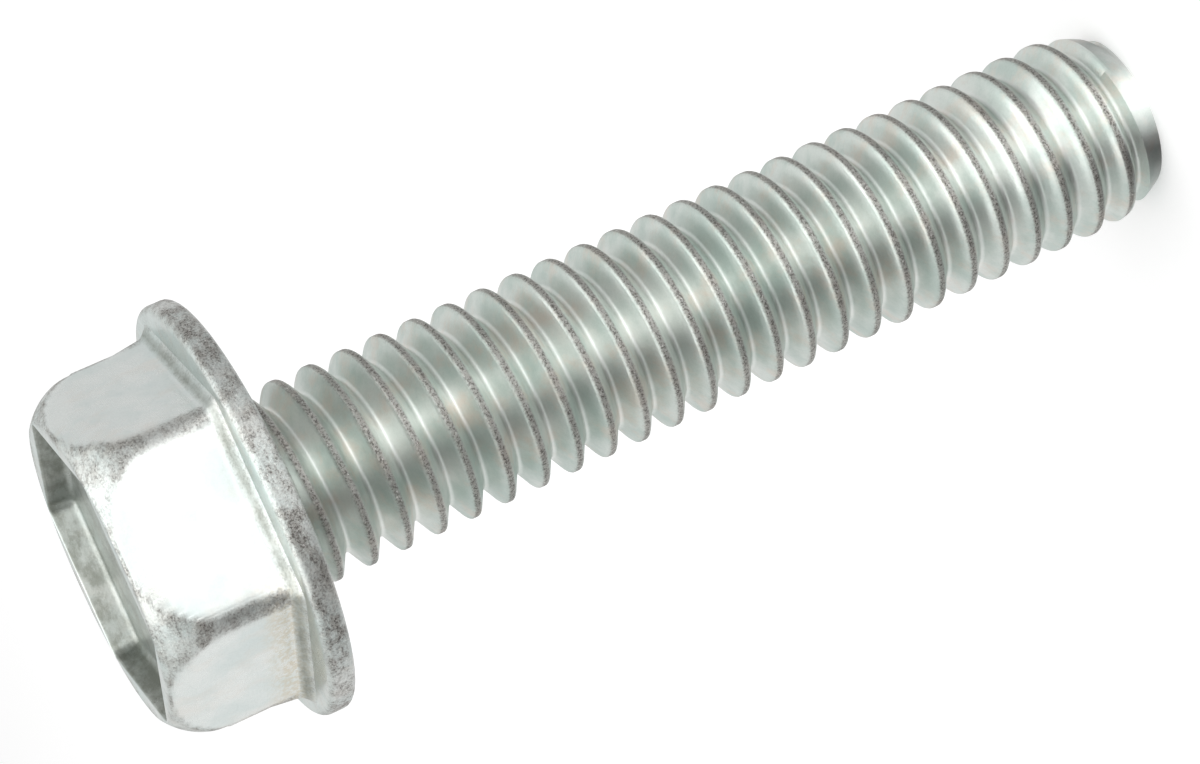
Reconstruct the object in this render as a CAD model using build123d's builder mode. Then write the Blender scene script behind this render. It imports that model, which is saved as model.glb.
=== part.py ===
from build123d import *
from math import atan, ceil, cos, degrees, radians, sin
import os

# Flange bolt: 5/16-18 x 1 1/2 in, hex washer head with an indented top, threaded up to the flange.
# One cold-headed, thread-rolled piece. Millimetres, head up, the origin in the middle of the bearing face.

inch = 25.4

# Thread, right hand
thread_pitch = inch / 18
thread_diameter = 7.66
root_diameter = 6.04
crest_width = 0.3
root_width = 0.18
first_crest_drop = 0.84
shank_length = 37.07

# Point: the rolled thread is shallower over its last turns, and its crests round down to the end face
filled_root_diameter = 6.66
shallow_turns = 8
fullest_turn = 3
end_root_diameter = 5.95
point_diameter = 6.1
point_length = 2.95
point_clearance = 0.05

# Making the thread: turns that are cut away above it, and how near an edge is to a cut to lie in it
spare_turns = 2
cut_tolerance = 0.001

# Flange under the hexagon
flange_diameter = 16.25
flange_thickness = 1.08
rim_radius = 0.3

# Hexagon, with a sloping foot on the flange and corners that are fuller above the foot
across_flats = 12.45
corner_radius = 1.3
full_corner_radius = 0.4
full_corner_height = 1.1
head_height = 6.32
foot_height = 0.45
foot_width = 0.4

# Crown: the flats lean in at the top, and the corners are rounded off down from a flat land
crown_radius = 2.5
land_diameter = 11.8
land_slope = 35
lean_height = 1.0
lean_width = 0.27

# Recess in the top of the head
recess_across_flats = 10.3
recess_depth = 1.05
recess_corner_radius = 0.6
recess_slope = 10
recess_floor_radius = 0.3

flank_height = (thread_pitch - crest_width - root_width) / 2
end_z = -shank_length
foot_top_z = flange_thickness + foot_height
thread_top_z = flange_thickness / 2


def crest_radius(z):
    """The same all along, because the point is cut afterwards."""
    return thread_diameter / 2


def between(near, far, share):
    return near + (far - near) * min(1, max(0, share))


def root_radius(z):
    """Full depth along the shank, shallower towards the end, and drawn in again at the end face."""
    turn = (z - end_z) / thread_pitch
    if turn > fullest_turn:
        share = (turn - fullest_turn) / (shallow_turns - fullest_turn)
        return between(filled_root_diameter, root_diameter, share) / 2
    return between(end_root_diameter, filled_root_diameter, turn / fullest_turn) / 2


def helix_turns(start_z, turns, radius):
    """Single turns of one helix, each on the cone through its radius at both ends."""
    helices = []
    for turn in range(turns):
        z = start_z + turn * thread_pitch
        slope = atan((radius(z + thread_pitch) - radius(z)) / thread_pitch)
        pitch_on_cone = thread_pitch / cos(slope)
        start = (0, 0, z)
        helix = Edge.make_helix(pitch_on_cone, thread_pitch, radius(z), start, angle=degrees(slope))
        helices.append(helix)
    return helices


def end_cap(strips, z):
    """The flat face across the thread at height z, bounded by the strips that were trimmed there."""
    level = []
    for strip in strips:
        level += strip.edges().filter_by_position(Axis.Z, z - cut_tolerance, z + cut_tolerance)
    return Face(Wire.combine(level)[0])


def threaded_shank():
    """A closed shell of helical strips, one turn each: lower flank, crest, upper flank and root."""
    crest_middle = flank_height + crest_width / 2
    turns = ceil((thread_top_z - end_z) / thread_pitch) + spare_turns
    first_root_z = thread_pitch * spare_turns - first_crest_drop - crest_middle
    start_z = first_root_z - turns * thread_pitch
    lower_root = helix_turns(start_z, turns + 1, root_radius)
    lower_crest = helix_turns(start_z + flank_height, turns, crest_radius)
    upper_crest = helix_turns(start_z + flank_height + crest_width, turns, crest_radius)
    upper_root = helix_turns(start_z + 2 * flank_height + crest_width, turns, root_radius)
    height = thread_top_z - end_z
    upright = (Align.CENTER, Align.CENTER, Align.MIN)
    slab = Pos(Z=end_z) * Cylinder(thread_diameter, height, align=upright)
    strips = []
    for turn in range(turns):
        crest = (lower_crest[turn], upper_crest[turn])
        rails = (lower_root[turn], *crest, upper_root[turn], lower_root[turn + 1])
        for lower, upper in zip(rails, rails[1:]):
            trimmed = Face.make_surface_from_curves(lower, upper) & slab
            if trimmed is not None:
                strips += trimmed.faces()
    return Solid(Shell(strips + [end_cap(strips, end_z), end_cap(strips, thread_top_z)]))


def hexagon(across, radius):
    """A hexagon with rounded corners, flats to the front and back, in the sketch being built."""
    RegularPolygon(across / 2, 6, major_radius=False)
    fillet(vertices(), radius)


shank = threaded_shank()

with BuildPart() as hexagon_head:
    # Prism, with fuller corners at its foot and flats that lean in at its top
    with BuildSketch(Plane.XY.offset(foot_top_z)):
        hexagon(across_flats, full_corner_radius)
    with BuildSketch(Plane.XY.offset(foot_top_z + full_corner_height)):
        hexagon(across_flats, corner_radius)
    loft(ruled=True)
    with BuildSketch(Plane.XY.offset(foot_top_z + full_corner_height)):
        hexagon(across_flats, corner_radius)
    extrude(amount=head_height - lean_height - foot_top_z - full_corner_height)
    with BuildSketch(Plane.XY.offset(head_height - lean_height)):
        hexagon(across_flats, corner_radius)
    with BuildSketch(Plane.XY.offset(head_height)):
        hexagon(across_flats - 2 * lean_width, corner_radius - lean_width)
    loft(ruled=True)

    # Sloping foot, down to the flange
    with BuildSketch(Plane.XY.offset(flange_thickness)):
        hexagon(across_flats + 2 * foot_width, full_corner_radius + foot_width)
    with BuildSketch(Plane.XY.offset(foot_top_z)):
        hexagon(across_flats, full_corner_radius)
    loft(ruled=True)

    # Crown
    with BuildSketch(Plane.XZ):
        with BuildLine():
            land_edge = (land_diameter / 2, head_height)
            land_tangent = (cos(radians(land_slope)), -sin(radians(land_slope)))
            crown = JernArc(land_edge, land_tangent, crown_radius, land_slope - 90)
            side = Line(crown @ 1, (flange_diameter / 2, flange_thickness))
            Polyline(side @ 1, (0, flange_thickness), (0, head_height), land_edge)
        make_face()
    revolve(axis=Axis.Z, mode=Mode.INTERSECT)

with BuildPart() as flange_bolt:
    # Flange with a rounded rim
    Cylinder(flange_diameter / 2, flange_thickness, align=(Align.CENTER, Align.CENTER, Align.MIN))
    fillet(edges().filter_by(GeomType.CIRCLE), rim_radius)

    add(hexagon_head.part)

    # Recess, with a rounded foot to its walls
    with BuildSketch(Plane.XY.offset(head_height)):
        hexagon(recess_across_flats, recess_corner_radius)
    extrude(amount=-recess_depth, taper=recess_slope, mode=Mode.SUBTRACT)
    floor_z = head_height - recess_depth
    recess_floor = faces().filter_by(Axis.Z).filter_by_position(Axis.Z, foot_top_z, floor_z)
    fillet(recess_floor.edges(), recess_floor_radius)

    # Threaded shank, with the crests rounded down at its point
    add(shank)
    with BuildSketch(Plane.XZ):
        with BuildLine():
            point_top = (thread_diameter / 2 + point_clearance, end_z + point_length)
            point_end = (point_diameter / 2, end_z)
            TangentArc(point_top, point_end, tangent=(0, -1))
            past_end = (point_diameter / 2, end_z - thread_pitch)
            past_corner = (thread_diameter, end_z - thread_pitch)
            beside = (thread_diameter, end_z + point_length)
            Polyline(point_end, past_end, past_corner, beside, point_top)
        make_face()
    revolve(axis=Axis.Z, mode=Mode.SUBTRACT)

flange_bolt.part.label = "flange_bolt"
os.makedirs("parts", exist_ok=True)
export_step(flange_bolt.part, "parts/flange_bolt.step")
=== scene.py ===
import math

import bmesh
import bpy
import numpy as np
from mathutils import Matrix, Vector


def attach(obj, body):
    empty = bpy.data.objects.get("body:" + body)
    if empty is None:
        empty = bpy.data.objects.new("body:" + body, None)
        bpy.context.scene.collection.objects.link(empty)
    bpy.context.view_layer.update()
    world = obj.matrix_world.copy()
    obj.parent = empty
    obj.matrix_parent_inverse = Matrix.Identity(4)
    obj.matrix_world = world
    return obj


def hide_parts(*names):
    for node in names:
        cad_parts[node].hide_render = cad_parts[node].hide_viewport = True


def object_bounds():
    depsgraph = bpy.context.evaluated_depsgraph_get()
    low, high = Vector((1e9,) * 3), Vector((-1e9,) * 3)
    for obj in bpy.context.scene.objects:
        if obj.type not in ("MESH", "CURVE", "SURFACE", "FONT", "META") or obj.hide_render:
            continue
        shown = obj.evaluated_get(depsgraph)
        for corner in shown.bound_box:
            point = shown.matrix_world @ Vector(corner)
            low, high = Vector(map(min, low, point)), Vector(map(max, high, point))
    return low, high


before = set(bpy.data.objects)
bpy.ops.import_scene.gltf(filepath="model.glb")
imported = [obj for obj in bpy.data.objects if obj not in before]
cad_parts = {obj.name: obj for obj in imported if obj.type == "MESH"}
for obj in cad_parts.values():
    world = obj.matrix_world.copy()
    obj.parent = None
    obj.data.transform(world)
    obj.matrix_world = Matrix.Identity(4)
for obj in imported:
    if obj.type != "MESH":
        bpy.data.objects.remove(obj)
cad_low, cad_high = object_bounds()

MM = 0.001
COS30 = math.cos(math.radians(30))
ROUNDING_ERROR = 1e-6
ROUNDING_SAMPLES = 9
SAME_PLACE = 1e-8
SHARP_ANGLE = math.radians(38)

# The CAD box gives the outer sizes, in millimetres.
head_top = cad_high.z / MM
end_z = cad_low.z / MM
flange_radius = min(cad_high.x, cad_high.y, -cad_low.x, -cad_low.y) / MM

# Thread
pitch = 25.4 / 18
crest_radius = 7.66 / 2
root_radius = 6.04 / 2
filled_root_radius = 6.66 / 2
end_root_radius = 5.95 / 2
crest_width = 0.3
root_width = 0.18
first_crest_drop = 0.84
shallow_turns = 8
fullest_turn = 3
point_radius = 6.1 / 2
point_length = 2.95
point_clearance = 0.05
thread_rounding = 0.06
flank_height = (pitch - crest_width - root_width) / 2

# Head
flange_thickness = 1.08
rim_radius = 0.3
across_flats = 12.45
corner_radius = 1.3
full_corner_radius = 0.4
full_corner_height = 1.1
foot_height = 0.45
foot_width = 0.4
crown_radius = 2.5
land_radius = 11.8 / 2
land_slope = math.radians(35)
lean_height = 1.0
lean_width = 0.27
recess_across_flats = 10.3
recess_depth = 1.05
recess_corner_radius = 0.6
recess_slope = math.radians(10)
recess_floor_radius = 0.3
edge_rounding = 0.12
foot_top = flange_thickness + foot_height

# Where the rings lie: shares of a width or a height, radii, and counts round each arc
FLOOR_SHARES = (0.1, 0.25, 0.4, 0.55, 0.7, 0.85, 0.95)
FLOOR_FILLET_RINGS = 7
WALL_HEIGHTS = (0.4, 0.6, 0.8, 0.95, recess_depth - 0.04)
CROWN_RINGS = 24
FLAT_RINGS = 6
FULL_CORNER_RINGS = 7
FOOT_SHARES = (0.2, 0.45, 0.7, 0.88, 1.0)
FLANGE_SHARES = (0.15, 0.4, 0.7, 1.0)
UPPER_RIM_RINGS = 7
RIM_SIDE_RINGS = 4
LOWER_RIM_RINGS = 6
BEARING_RADII = (6.9, 6.0, 5.2, 4.5)
END_SHARES = (0.96, 0.8, 0.55, 0.3, 0.1)

# How far the thin land keeps the rings of the recess from its outer edge
WALL_GAP = 0.05
LAND_GAP = 0.03

# The foot spreads faster the lower it is.
FOOT_CURVE = 1.4

# Wear of each surface, from 0 where it is smooth to 1 where it is rough
RECESS_FLOOR_WEAR = 0.3
RECESS_WALL_WEAR = 0.25
LAND_EDGE_WEAR = 0.1
LAND_WEAR = 0.2
CORNER_WEAR = 0.75
CORNER_WEAR_ANGLE = np.radians(4.4)
CORNER_WEAR_FADE = np.radians(2.4)
CROWN_WEAR = 0.6
CROWN_EDGE_WEAR = 0.4
CROWN_EDGE_WIDTH = 0.12
CROWN_WEAR_FROM, CROWN_WEAR_TO = -0.07, 0.02
FOOT_WEAR = 0.4
FLANGE_WEAR = 0.15
BEARING_WEAR = 0.3
END_WEAR = 0.35
CREST_LINE = 0.18
CREST_LINE_FADE = 0.12
CREST_WEAR_FROM, CREST_WEAR_TO = 0.9, 1.8

# How much painted shade darkens the recess and the foot, and which part of the thread's depth is
# its root
RECESS_FLOOR_PAINTED_SHADE = 0.45
FOOT_PAINTED_SHADE = 0.9
ROOT_FROM, ROOT_TO = 0.03, 0.2

# Angles of the rings, in degrees, closest together at the hexagon's corners
CORNER_STEPS = (0.5, 1.0, 1.6, 2.3, 3.1, 4.0, 5.0, 6.5, 8.5, 11.0, 14.5, 19.0, 24.5)
degrees = np.array([
    60 * sector + step
    for sector in range(6)
    for step in (0, *CORNER_STEPS, 30, *(60 - s for s in reversed(CORNER_STEPS)))
])
count = len(degrees)
angle = np.radians(degrees)
from_corner = np.radians(np.abs((degrees + 30) % 60 - 30))
ones = np.ones(count)


def hexagon_radius(across, corner):
    """Radius of a round-cornered hexagon at every angle."""
    half = across / 2
    centre = (half - corner) / COS30
    reach = math.atan2(corner * 0.5, centre + corner * COS30)
    flat = half / np.cos(math.radians(30) - from_corner)
    inside = corner**2 - (centre * np.sin(from_corner)) ** 2
    arc = centre * np.cos(from_corner) + np.sqrt(np.maximum(inside, 0))
    return np.where(from_corner < reach, arc, flat)


def soft_minimum(a, b, blend):
    """The smaller of a and b, rounded over where they cross."""
    share = np.clip(0.5 + 0.5 * (b - a) / blend, 0, 1)
    return b * (1 - share) + a * share - blend * share * (1 - share)


def smooth(value, low, high):
    share = np.clip((value - low) / (high - low), 0, 1)
    return share * share * (3 - 2 * share)


# The rings, each a radius, a height and three surface marks at every angle. "worn" is 1 on rough
# edges, "root" on the smooth bottom of the thread, where a painted highlight lightens the
# colour, and "dull" on the recess's walls, less on its floor and on the foot, where it darkens
# the colour as painted shade.
rings = []


def ring(radius, z, worn=0.0, root=0.0, painted_shade=0.0):
    rings.append((radius * ones, z * ones, worn * ones, root * ones, painted_shade * ones))


# Recess
def recess_hexagon(across):
    return hexagon_radius(across, recess_corner_radius - (recess_across_flats - across) / 2)


floor_z = head_top - recess_depth
floor_half = recess_across_flats / 2 - recess_depth * math.tan(recess_slope)
fillet_half = (
    floor_half
    + recess_floor_radius * math.tan(recess_slope)
    - recess_floor_radius / math.cos(recess_slope)
)
# The recess's floor, fillet and walls carry painted shade.
for share in FLOOR_SHARES:
    ring(
        recess_hexagon(2 * fillet_half) * share,
        floor_z,
        RECESS_FLOOR_WEAR,
        painted_shade=RECESS_FLOOR_PAINTED_SHADE,
    )
for turn in np.radians(np.linspace(0, 90 - math.degrees(recess_slope), FLOOR_FILLET_RINGS)):
    ring(
        recess_hexagon(2 * (fillet_half + recess_floor_radius * math.sin(turn))),
        floor_z + recess_floor_radius * (1 - math.cos(turn)),
        RECESS_WALL_WEAR,
        painted_shade=RECESS_FLOOR_PAINTED_SHADE + (1 - RECESS_FLOOR_PAINTED_SHADE) * math.sin(turn),
    )
for height in WALL_HEIGHTS:
    half = floor_half + height * math.tan(recess_slope)
    wall = np.minimum(recess_hexagon(2 * half), land_radius - WALL_GAP)
    ring(wall, floor_z + height, RECESS_WALL_WEAR, painted_shade=1.0)


# Crown, flats and corners
crown_centre_r = land_radius - crown_radius * math.sin(land_slope)
crown_centre_z = head_top - crown_radius * math.cos(land_slope)


def head_ring(z):
    """The hexagon as far as the crown lets it reach."""
    lean = np.clip((z - head_top + lean_height) / lean_height, 0, 1)
    full = np.clip((foot_top + full_corner_height - z) / full_corner_height, 0, 1)
    corner = corner_radius + (full_corner_radius - corner_radius) * full - lean_width * lean
    hexagon = hexagon_radius(across_flats - 2 * lean_width * lean, corner)
    rough = smooth(CORNER_WEAR_ANGLE - from_corner, 0, CORNER_WEAR_FADE) * CORNER_WEAR
    if z <= crown_centre_z:
        ring(hexagon, z, rough)
        return
    crown = crown_centre_r + math.sqrt(crown_radius**2 - (z - crown_centre_z) ** 2)
    radius = soft_minimum(hexagon, crown * ones, edge_rounding)
    past_edge = hexagon - crown
    near_edge = np.exp(-((past_edge / CROWN_EDGE_WIDTH) ** 2))
    on_crown = smooth(past_edge, CROWN_WEAR_FROM, CROWN_WEAR_TO)
    band = on_crown * (CROWN_WEAR + CROWN_EDGE_WEAR * near_edge)
    ring(radius, z, np.maximum(rough, band))


edge_of_recess = np.minimum(
    recess_hexagon(recess_across_flats + 2 * LAND_GAP), land_radius - LAND_GAP
)
ring(edge_of_recess, head_top, LAND_EDGE_WEAR)
land_edge = soft_minimum(
    hexagon_radius(across_flats - 2 * lean_width, corner_radius - lean_width),
    land_radius * ones,
    edge_rounding,
)
ring((edge_of_recess + land_edge) / 2, head_top, LAND_WEAR)
for turn in np.linspace(land_slope, math.radians(90), CROWN_RINGS):
    head_ring(crown_centre_z + crown_radius * math.cos(turn))
full_corner_top = foot_top + full_corner_height
for z in np.linspace(crown_centre_z, full_corner_top, FLAT_RINGS)[1:]:
    head_ring(z)
for z in np.linspace(full_corner_top, foot_top, FULL_CORNER_RINGS)[1:]:
    head_ring(z)

# Foot, flange and bearing face
# The foot's curve between head and flange carries painted shade, most in its middle.
for share in FOOT_SHARES:
    spread = foot_width * share**FOOT_CURVE
    ring(
        hexagon_radius(across_flats + 2 * spread, full_corner_radius + spread),
        foot_top - foot_height * share,
        FOOT_WEAR,
        painted_shade=FOOT_PAINTED_SHADE * math.sin(math.pi * share) ** 2,
    )
foot_edge = rings[-1][0]
rim_centre = flange_radius - rim_radius
for share in FLANGE_SHARES:
    ring(foot_edge + (rim_centre - foot_edge) * share, flange_thickness, FLANGE_WEAR)
for turn in np.radians(np.linspace(0, 90, UPPER_RIM_RINGS))[1:]:
    ring(
        rim_centre + rim_radius * math.sin(turn),
        flange_thickness - rim_radius * (1 - math.cos(turn)),
        math.sin(turn),
    )
for z in np.linspace(flange_thickness - rim_radius, rim_radius, RIM_SIDE_RINGS)[1:]:
    ring(flange_radius, z, 1.0)
for turn in np.radians(np.linspace(0, 90, LOWER_RIM_RINGS))[1:]:
    ring(
        rim_centre + rim_radius * math.cos(turn),
        rim_radius * (1 - math.sin(turn)),
        math.cos(turn),
    )
for radius in BEARING_RADII:
    ring(radius, 0.0, BEARING_WEAR)


# Thread
def thread_share(offset):
    """0 at the root and 1 at the crest, at a distance along the axis from the crest."""
    spots = np.linspace(-thread_rounding, thread_rounding, ROUNDING_SAMPLES)
    levels = [
        np.clip(1 - (np.abs(offset + spot) - crest_width / 2) / flank_height, 0, 1)
        for spot in spots
    ]
    return np.mean(levels, axis=0)


def root_at(z):
    """Radius of the thread's root, shallow a few turns from the end."""
    turns = (z - end_z) / pitch
    above = filled_root_radius + (root_radius - filled_root_radius) * np.clip(
        (turns - fullest_turn) / (shallow_turns - fullest_turn), 0, 1
    )
    below = end_root_radius + (filled_root_radius - end_root_radius) * turns / fullest_turn
    return np.where(turns > fullest_turn, above, below)


point_start = crest_radius + point_clearance
point_drop = point_start - point_radius
point_arc = (point_drop**2 + point_length**2) / (2 * point_drop)


def point_at(z):
    """How far the rounded point lets the thread reach."""
    below = np.clip(end_z + point_length - z, 0, point_length)
    return point_start - point_arc + np.sqrt(point_arc**2 - below**2)


# Rows of one turn, by their distance from its crest. One of them starts on the bearing face.
half_offsets = (0.05, 0.1, 0.15, 0.22, 0.38, pitch - first_crest_drop, 0.64)
offsets = sorted({0.0, pitch / 2, *half_offsets, *(-o for o in half_offsets)}, reverse=True)
rows_per_turn = len(offsets)
starts = [
    -first_crest_drop - turn * pitch + offset
    for turn in range(-1, int(-end_z / pitch) + 3)
    for offset in offsets
]
starts = [s for s in starts if end_z - 1.5 * pitch < s < ROUNDING_ERROR]
head_rings = len(rings)
rise = pitch * angle / (2 * math.pi)
for start in starts:
    z = np.clip(start + rise, end_z, 0.0)
    offset = (z - rise + first_crest_drop + pitch / 2) % pitch - pitch / 2
    share = thread_share(offset)
    root = root_at(z)
    radius = soft_minimum(root + (crest_radius - root) * share, point_at(z), point_clearance)
    crest = smooth(CREST_LINE - np.abs(offset), 0, CREST_LINE_FADE)
    crest = crest * smooth(z - end_z, CREST_WEAR_FROM, CREST_WEAR_TO)
    # The fourth mark is 1 at the root, where the colour is lightened as a painted highlight.
    ring(radius, z, crest, 1 - smooth(share, ROOT_FROM, ROOT_TO))
thread_rings = len(rings) - head_rings
end_edge = rings[-1][0]
for share in END_SHARES:
    ring(end_edge * share, end_z, END_WEAR)

# The rings become one closed mesh.
directions = np.stack([np.cos(angle), np.sin(angle)])
points = [
    (r * directions[0] * MM, r * directions[1] * MM, z * MM) for r, z, *_ in rings
]
vertices = np.concatenate([np.stack(p, axis=1) for p in points])
marks = {
    name: np.concatenate([r[place] for r in rings])
    for place, name in ((2, "worn"), (3, "root"), (4, "painted_shade"))
}
CENTRE_MARKS = {
    "worn": (RECESS_FLOOR_WEAR, END_WEAR),
    "root": (0, 0),
    "painted_shade": (RECESS_FLOOR_PAINTED_SHADE, 0),
}


def vertex(row, column):
    """Number of a vertex. A thread row ends where the row one turn above starts."""
    if column < count:
        return row * count + column
    if head_rings <= row < head_rings + thread_rings:
        row = max(row - rows_per_turn, head_rings)
    return row * count


faces = []
for row in range(len(rings) - 1):
    for column in range(count):
        corners = dict.fromkeys((
            vertex(row, column),
            vertex(row + 1, column),
            vertex(row + 1, column + 1),
            vertex(row, column + 1),
        ))
        if len(corners) > 2:
            faces.append(tuple(corners))
top_centre = len(vertices)
end_centre = top_centre + 1
vertices = np.vstack([vertices, [0, 0, floor_z * MM], [0, 0, end_z * MM]])
last = len(rings) - 1
for column in range(count):
    faces.append((top_centre, vertex(0, column), vertex(0, column + 1)))
    faces.append((end_centre, vertex(last, column + 1), vertex(last, column)))

mesh = bpy.data.meshes.new("bolt")
mesh.from_pydata(vertices.tolist(), [], faces)
for name, values in marks.items():
    attribute = mesh.attributes.new(name, "FLOAT", "POINT")
    values = np.append(values, CENTRE_MARKS[name])
    attribute.data.foreach_set("value", values.astype(np.float32))
work = bmesh.new()
work.from_mesh(mesh)
bmesh.ops.remove_doubles(work, verts=work.verts, dist=SAME_PLACE)
bmesh.ops.recalc_face_normals(work, faces=work.faces)
work.to_mesh(mesh)
work.free()
mesh.shade_smooth()
mesh.set_sharp_from_angle(angle=SHARP_ANGLE)
bolt = bpy.data.objects.new("bolt", mesh)
bpy.context.scene.collection.objects.link(bolt)
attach(bolt, "root")
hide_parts("flange_bolt")


# Materials
class Nodes:
    """Adds nodes to a tree and joins them."""

    def __init__(self, tree):
        self.tree = tree
        tree.nodes.clear()

    def add(self, kind, settings=None, **inputs):
        made = self.tree.nodes.new(kind)
        for name, value in (settings or {}).items():
            setattr(made, name, value)
        for name, value in inputs.items():
            self.put(made.inputs[name.replace("_", " ")], value)
        return made

    def put(self, socket, value):
        if isinstance(value, bpy.types.NodeSocket):
            self.tree.links.new(value, socket)
        else:
            socket.default_value = value

    def math(self, operation, *values):
        made = self.tree.nodes.new("ShaderNodeMath")
        made.operation = operation
        for socket, value in zip(made.inputs, values):
            self.put(socket, value)
        return made.outputs[0]

    def range(self, value, low, high, to_low=0.0, to_high=1.0):
        made = self.add("ShaderNodeMapRange", {"interpolation_type": "SMOOTHSTEP"})
        for socket, item in zip(made.inputs, (value, low, high, to_low, to_high)):
            self.put(socket, item)
        return made.outputs[0]

    def mix(self, share, a, b):
        made = self.add("ShaderNodeMix", {"data_type": "RGBA"})
        for socket, item in zip((made.inputs[0], made.inputs[6], made.inputs[7]), (share, a, b)):
            self.put(socket, item)
        return made.outputs[2]

    def noise(self, vector, scale, detail, roughness):
        made = self.add(
            "ShaderNodeTexNoise", Vector=vector, Scale=scale, Detail=detail, Roughness=roughness
        )
        return made.outputs["Fac"]

    def stretched(self, vector, scale):
        made = self.add("ShaderNodeMapping", Vector=vector)
        made.inputs["Scale"].default_value = scale
        return made.outputs["Vector"]


def colour(r, g, b):
    return (r, g, b, 1.0)


HEAD_PALE = colour(0.77, 0.80, 0.78)
HEAD_GREEN = colour(0.69, 0.75, 0.735)
THREAD_PALE = colour(0.76, 0.795, 0.76)
THREAD_GREEN = colour(0.60, 0.675, 0.635)
WARM_TINT = colour(0.76, 0.675, 0.60)
YELLOW_STAIN = colour(0.60, 0.52, 0.37)
BROWN_WEAR = colour(0.33, 0.305, 0.28)
DARK_SPECK = colour(0.07, 0.06, 0.055)
BRIGHT_FLECK = colour(0.92, 0.91, 0.88)
# Painted highlight for the thread's root.
ROOT_PAINTED_HIGHLIGHT = colour(0.86, 0.86, 0.83)
# Painted shade for the recess and the foot.
PAINTED_RECESS_SHADE = colour(0.25, 0.262, 0.23)
SKY = colour(0.43, 0.445, 0.44)
FLOOR_GREY = colour(0.86, 0.86, 0.86)
WHITE = colour(1, 1, 1)


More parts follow.
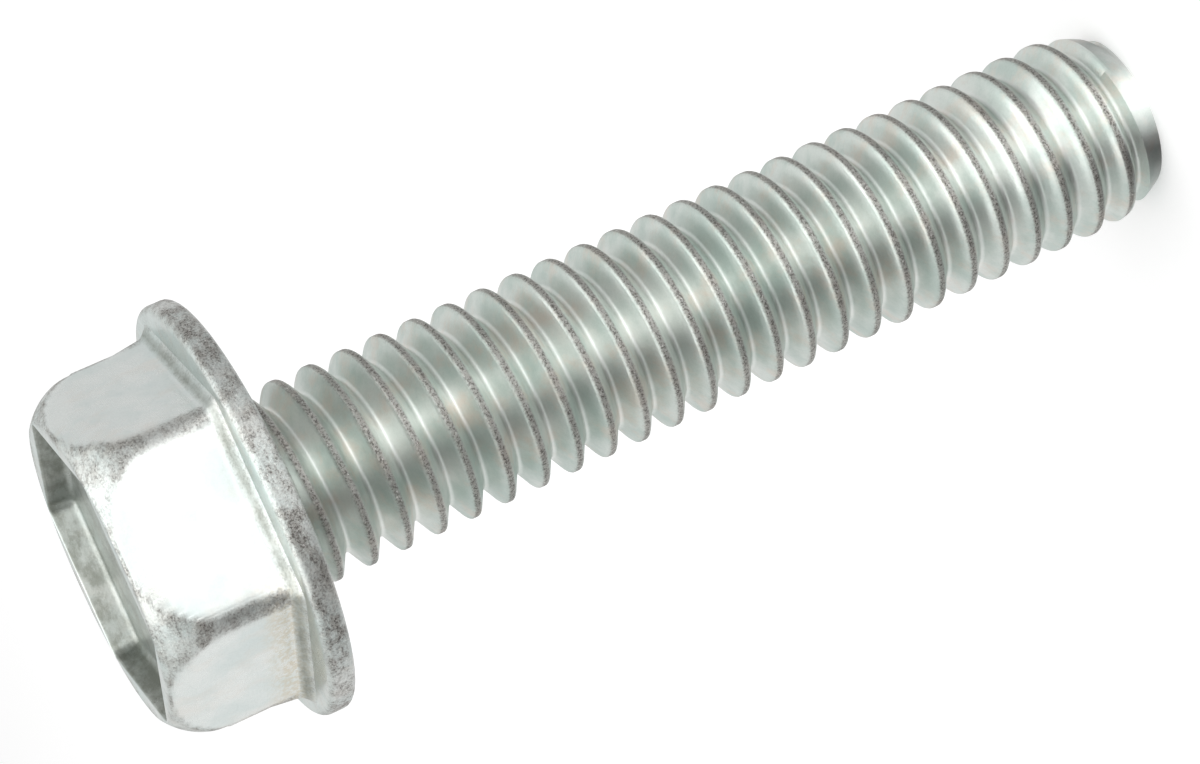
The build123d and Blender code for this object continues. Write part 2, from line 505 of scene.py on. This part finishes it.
def zinc_plate():
    """Clear zinc plate: pale and faintly green, speckled and dark on rough edges, with painted
    shade in the recess and on the foot and a painted highlight along the thread's root.
    """
    material = bpy.data.materials.new("zinc_plate")
    material.use_nodes = True
    n = Nodes(material.node_tree)
    place = n.stretched(n.add("ShaderNodeTexCoord").outputs["Object"], (1 / MM,) * 3)
    worn = n.add("ShaderNodeAttribute", {"attribute_name": "worn"}).outputs["Fac"]
    root = n.add("ShaderNodeAttribute", {"attribute_name": "root"}).outputs["Fac"]
    painted_shade = n.add("ShaderNodeAttribute", {"attribute_name": "painted_shade"}).outputs["Fac"]
    parts = n.add("ShaderNodeSeparateXYZ", Vector=place)
    height = parts.outputs["Z"]

    clouds = n.noise(place, 0.45, 4.0, 0.6)
    warm_clouds = n.noise(n.stretched(place, (1, 1, 0.6)), 0.8, 5.0, 0.65)
    smears = n.noise(n.stretched(place, (1, 1, 1.6)), 1.1, 5.0, 0.7)
    grain = n.noise(place, 11.0, 5.0, 0.7)
    flecks = n.noise(n.stretched(place, (1.0, 1.0, 2.2)), 9.0, 4.0, 0.75)
    pits = n.noise(place, 5.0, 4.0, 0.65)
    scratches = n.noise(n.stretched(place, (0.7, 0.7, 16.0)), 1.3, 3.0, 0.6)

    cloudy = n.range(clouds, 0.36, 0.64)
    head_tint = n.mix(cloudy, HEAD_PALE, HEAD_GREEN)
    thread_tint = n.mix(cloudy, THREAD_PALE, THREAD_GREEN)
    on_thread = n.range(height, -0.3, 0.2, 1.0, 0.0)
    pale = n.mix(on_thread, head_tint, thread_tint)
    warm_share = n.math("MULTIPLY_ADD", on_thread, 0.3, 0.25)
    warm = n.math("MULTIPLY", n.range(warm_clouds, 0.48, 0.68), warm_share)
    tinted = n.mix(warm, pale, WARM_TINT)
    low_on_head = n.math(
        "MULTIPLY", n.range(height, 1.0, 1.3), n.range(height, 1.8, 3.0, 1.0, 0.0)
    )
    stained_side = n.range(parts.outputs["X"], -4.0, -2.0, 1.0, 0.0)
    stain = n.math("MULTIPLY", low_on_head, n.range(pits, 0.42, 0.58, 0.1, 0.55))
    stain = n.math("MULTIPLY", stain, stained_side)
    stained = n.mix(stain, tinted, YELLOW_STAIN)

    smeared = n.range(smears, 0.4, 0.62, 0.25, 1.0)
    smeared = n.math("MAXIMUM", smeared, n.math("MULTIPLY", on_thread, 0.85))
    brown = n.math("MULTIPLY", n.math("MULTIPLY", worn, smeared), 0.8)
    browned = n.mix(brown, stained, BROWN_WEAR)
    speckled = n.range(grain, 0.46, 0.6)
    worn_share = n.math("MULTIPLY_ADD", n.math("MULTIPLY", worn, smeared), 0.7, 0.04)
    dark = n.math("MULTIPLY", speckled, worn_share)
    darkened = n.mix(dark, browned, DARK_SPECK)
    bright = n.math("MULTIPLY", n.range(flecks, 0.56, 0.68), n.math("MULTIPLY", worn, 0.8))
    flecked = n.mix(bright, darkened, BRIGHT_FLECK)
    # Painted highlight: the thread's root lightened.
    root_highlighted = n.mix(n.math("MULTIPLY", root, 0.3), flecked, ROOT_PAINTED_HIGHLIGHT)
    # Painted shade: the colour darkened in streaks over the recess and the foot.
    painted_shade_streaks = n.math("MULTIPLY", painted_shade, n.range(smears, 0.35, 0.65, 0.6, 0.95))
    body = n.mix(painted_shade_streaks, root_highlighted, PAINTED_RECESS_SHADE)

    roughness = n.math("MULTIPLY_ADD", worn, 0.15, 0.25)
    roughness = n.math("MULTIPLY_ADD", on_thread, 0.09, roughness)
    roughness = n.math("MULTIPLY_ADD", n.math("SUBTRACT", clouds, 0.5), 0.3, roughness)
    roughness = n.math("MULTIPLY_ADD", dark, 0.25, roughness)
    roughness = n.math("MULTIPLY_ADD", scratches, 0.08, roughness)
    grain_share = n.math("MULTIPLY_ADD", on_thread, 0.14, 0.16)
    relief = n.math("MULTIPLY", grain, n.math("MULTIPLY_ADD", worn, 0.7, grain_share))
    relief = n.math("MULTIPLY_ADD", smears, n.math("MULTIPLY", worn, 1.2), relief)
    relief = n.math("MULTIPLY_ADD", scratches, 0.1, relief)
    bump = n.add("ShaderNodeBump", Strength=0.6, Distance=0.04 * MM, Height=relief)

    shader = n.add(
        "ShaderNodeBsdfPrincipled",
        Base_Color=body,
        Metallic=1.0,
        Roughness=roughness,
        Normal=bump.outputs["Normal"],
    )
    out = n.add("ShaderNodeOutputMaterial")
    n.put(out.inputs["Surface"], shader.outputs["BSDF"])
    return material


mesh.materials.append(zinc_plate())

# Studio: how bright the surroundings are at each angle round the bolt, for reflections.
# The angle is 0 on the camera's side and grows towards +X.
SURROUNDINGS = (
    (-180, 0.85),
    (-120, 1.0),
    (-80, 0.75),
    (-62, 0.42),
    (-48, 0.2),
    (-36, 0.13),
    (-26, 0.28),
    (-12, 1.1),
    (0, 1.75),
    (16, 1.75),
    (34, 0.8),
    (70, 0.45),
    (105, 0.75),
    (140, 0.85),
    (180, 0.85),
)
BRIGHTEST = 1.8
PLAIN_LEVEL = 0.55
WHITE_LIFT = 0.3
SKY_FROM, SKY_TO = 0.1, 0.42


def surroundings(n, vector):
    """Brightness of the studio in the direction of a vector from the bolt's axis."""
    parts = n.add("ShaderNodeSeparateXYZ", Vector=vector)
    round_axis = n.math(
        "ARCTAN2", parts.outputs["X"], n.math("MULTIPLY", parts.outputs["Y"], -1.0)
    )
    share = n.math("MULTIPLY_ADD", round_axis, 1 / (2 * math.pi), 0.5)
    ramp = n.add("ShaderNodeValToRGB", Fac=share)
    stops = ramp.color_ramp.elements
    for position, (degree, level) in enumerate(SURROUNDINGS):
        level = level / BRIGHTEST
        if position < 2:
            stop = stops[position]
        else:
            stop = stops.new(1.0)
        stop.position = degree / 360 + 0.5
        stop.color = colour(level, level, level)
    return ramp.outputs["Color"]


def light_path(n):
    path = n.add("ShaderNodeLightPath")
    return path.outputs["Is Camera Ray"], path.outputs["Is Glossy Ray"]


world = bpy.data.worlds.new("studio")
world.use_nodes = True
bpy.context.scene.world = world
n = Nodes(world.node_tree)
camera_ray, glossy_ray = light_path(n)
direction = n.add("ShaderNodeTexCoord").outputs["Generated"]
around = surroundings(n, direction)
above = n.add("ShaderNodeSeparateXYZ", Vector=direction).outputs["Z"]
sky = n.mix(n.range(above, SKY_FROM, SKY_TO), around, SKY)
plain = n.add("ShaderNodeBackground", Color=WHITE, Strength=PLAIN_LEVEL)
mirrored = n.add("ShaderNodeBackground", Color=sky, Strength=BRIGHTEST)
white = n.add("ShaderNodeBackground", Color=WHITE, Strength=1.0)
first = n.add("ShaderNodeMixShader")
for socket, item in zip(first.inputs, (glossy_ray, plain.outputs[0], mirrored.outputs[0])):
    n.put(socket, item)
second = n.add("ShaderNodeMixShader")
for socket, item in zip(second.inputs, (camera_ray, first.outputs[0], white.outputs[0])):
    n.put(socket, item)
n.put(n.add("ShaderNodeOutputWorld").inputs["Surface"], second.outputs[0])

floor_material = bpy.data.materials.new("pale_floor")
floor_material.use_nodes = True
n = Nodes(floor_material.node_tree)
camera_ray, glossy_ray = light_path(n)
around = surroundings(n, n.add("ShaderNodeTexCoord").outputs["Object"])
matte = n.add("ShaderNodeBsdfDiffuse", Color=FLOOR_GREY)
lift = n.add("ShaderNodeEmission", Color=WHITE)
n.put(lift.inputs["Strength"], n.math("MULTIPLY", camera_ray, WHITE_LIFT))
lit = n.add("ShaderNodeAddShader")
n.put(lit.inputs[0], matte.outputs[0])
n.put(lit.inputs[1], lift.outputs[0])
mirrored = n.add("ShaderNodeEmission", Color=around, Strength=BRIGHTEST)
both = n.add("ShaderNodeMixShader")
for socket, item in zip(both.inputs, (glossy_ray, lit.outputs[0], mirrored.outputs[0])):
    n.put(socket, item)
n.put(n.add("ShaderNodeOutputMaterial").inputs["Surface"], both.outputs[0])

FLOOR_HALF = 2.5
SQUARE = ((-1, -1), (1, -1), (1, 1), (-1, 1))
floor_corners = [(x * FLOOR_HALF, y * FLOOR_HALF, 0) for x, y in SQUARE]
floor_mesh = bpy.data.meshes.new("floor")
floor_mesh.from_pydata(floor_corners, [], [(0, 1, 2, 3)])
floor_mesh.materials.append(floor_material)
floor = bpy.data.objects.new("floor", floor_mesh)
floor.location.z = cad_low.z
bpy.context.scene.collection.objects.link(floor)


def softbox(name, location, size, power):
    light = bpy.data.lights.new(name, "AREA")
    light.shape = "SQUARE"
    light.size = size
    light.energy = power
    lamp = bpy.data.objects.new(name, light)
    lamp.location = location
    lamp.rotation_euler = (-Vector(location)).to_track_quat("-Z", "Y").to_euler()
    bpy.context.scene.collection.objects.link(lamp)


softbox("overhead_softbox", (0.08, -0.12, 0.6), 0.8, 2.6)
softbox("front_softbox", (0.25, -0.7, 0.35), 0.6, 0.9)

# Camera, at the photograph's viewing angle. It is turned so that the standing bolt lies
# across the picture, head at the lower left.
camera_data = bpy.data.cameras.new("camera")
camera_data.sensor_width = 36
camera_data.lens = 126.45
camera_data.clip_start = 0.005
camera_data.clip_end = 20
camera = bpy.data.objects.new("camera", camera_data)
bpy.context.scene.collection.objects.link(camera)
right = Vector((-0.41260, -0.24343, -0.87778))
up = Vector((0.91091, -0.11026, -0.39760))
back = Vector((0.0, -0.96363, 0.26724))
placing = Matrix((right, up, back)).transposed().to_4x4()
placing.translation = Vector((-0.00117, -0.15128, 0.02829))
camera.matrix_world = placing
bpy.context.scene.camera = camera
bpy.context.scene.view_settings.view_transform = "Standard"
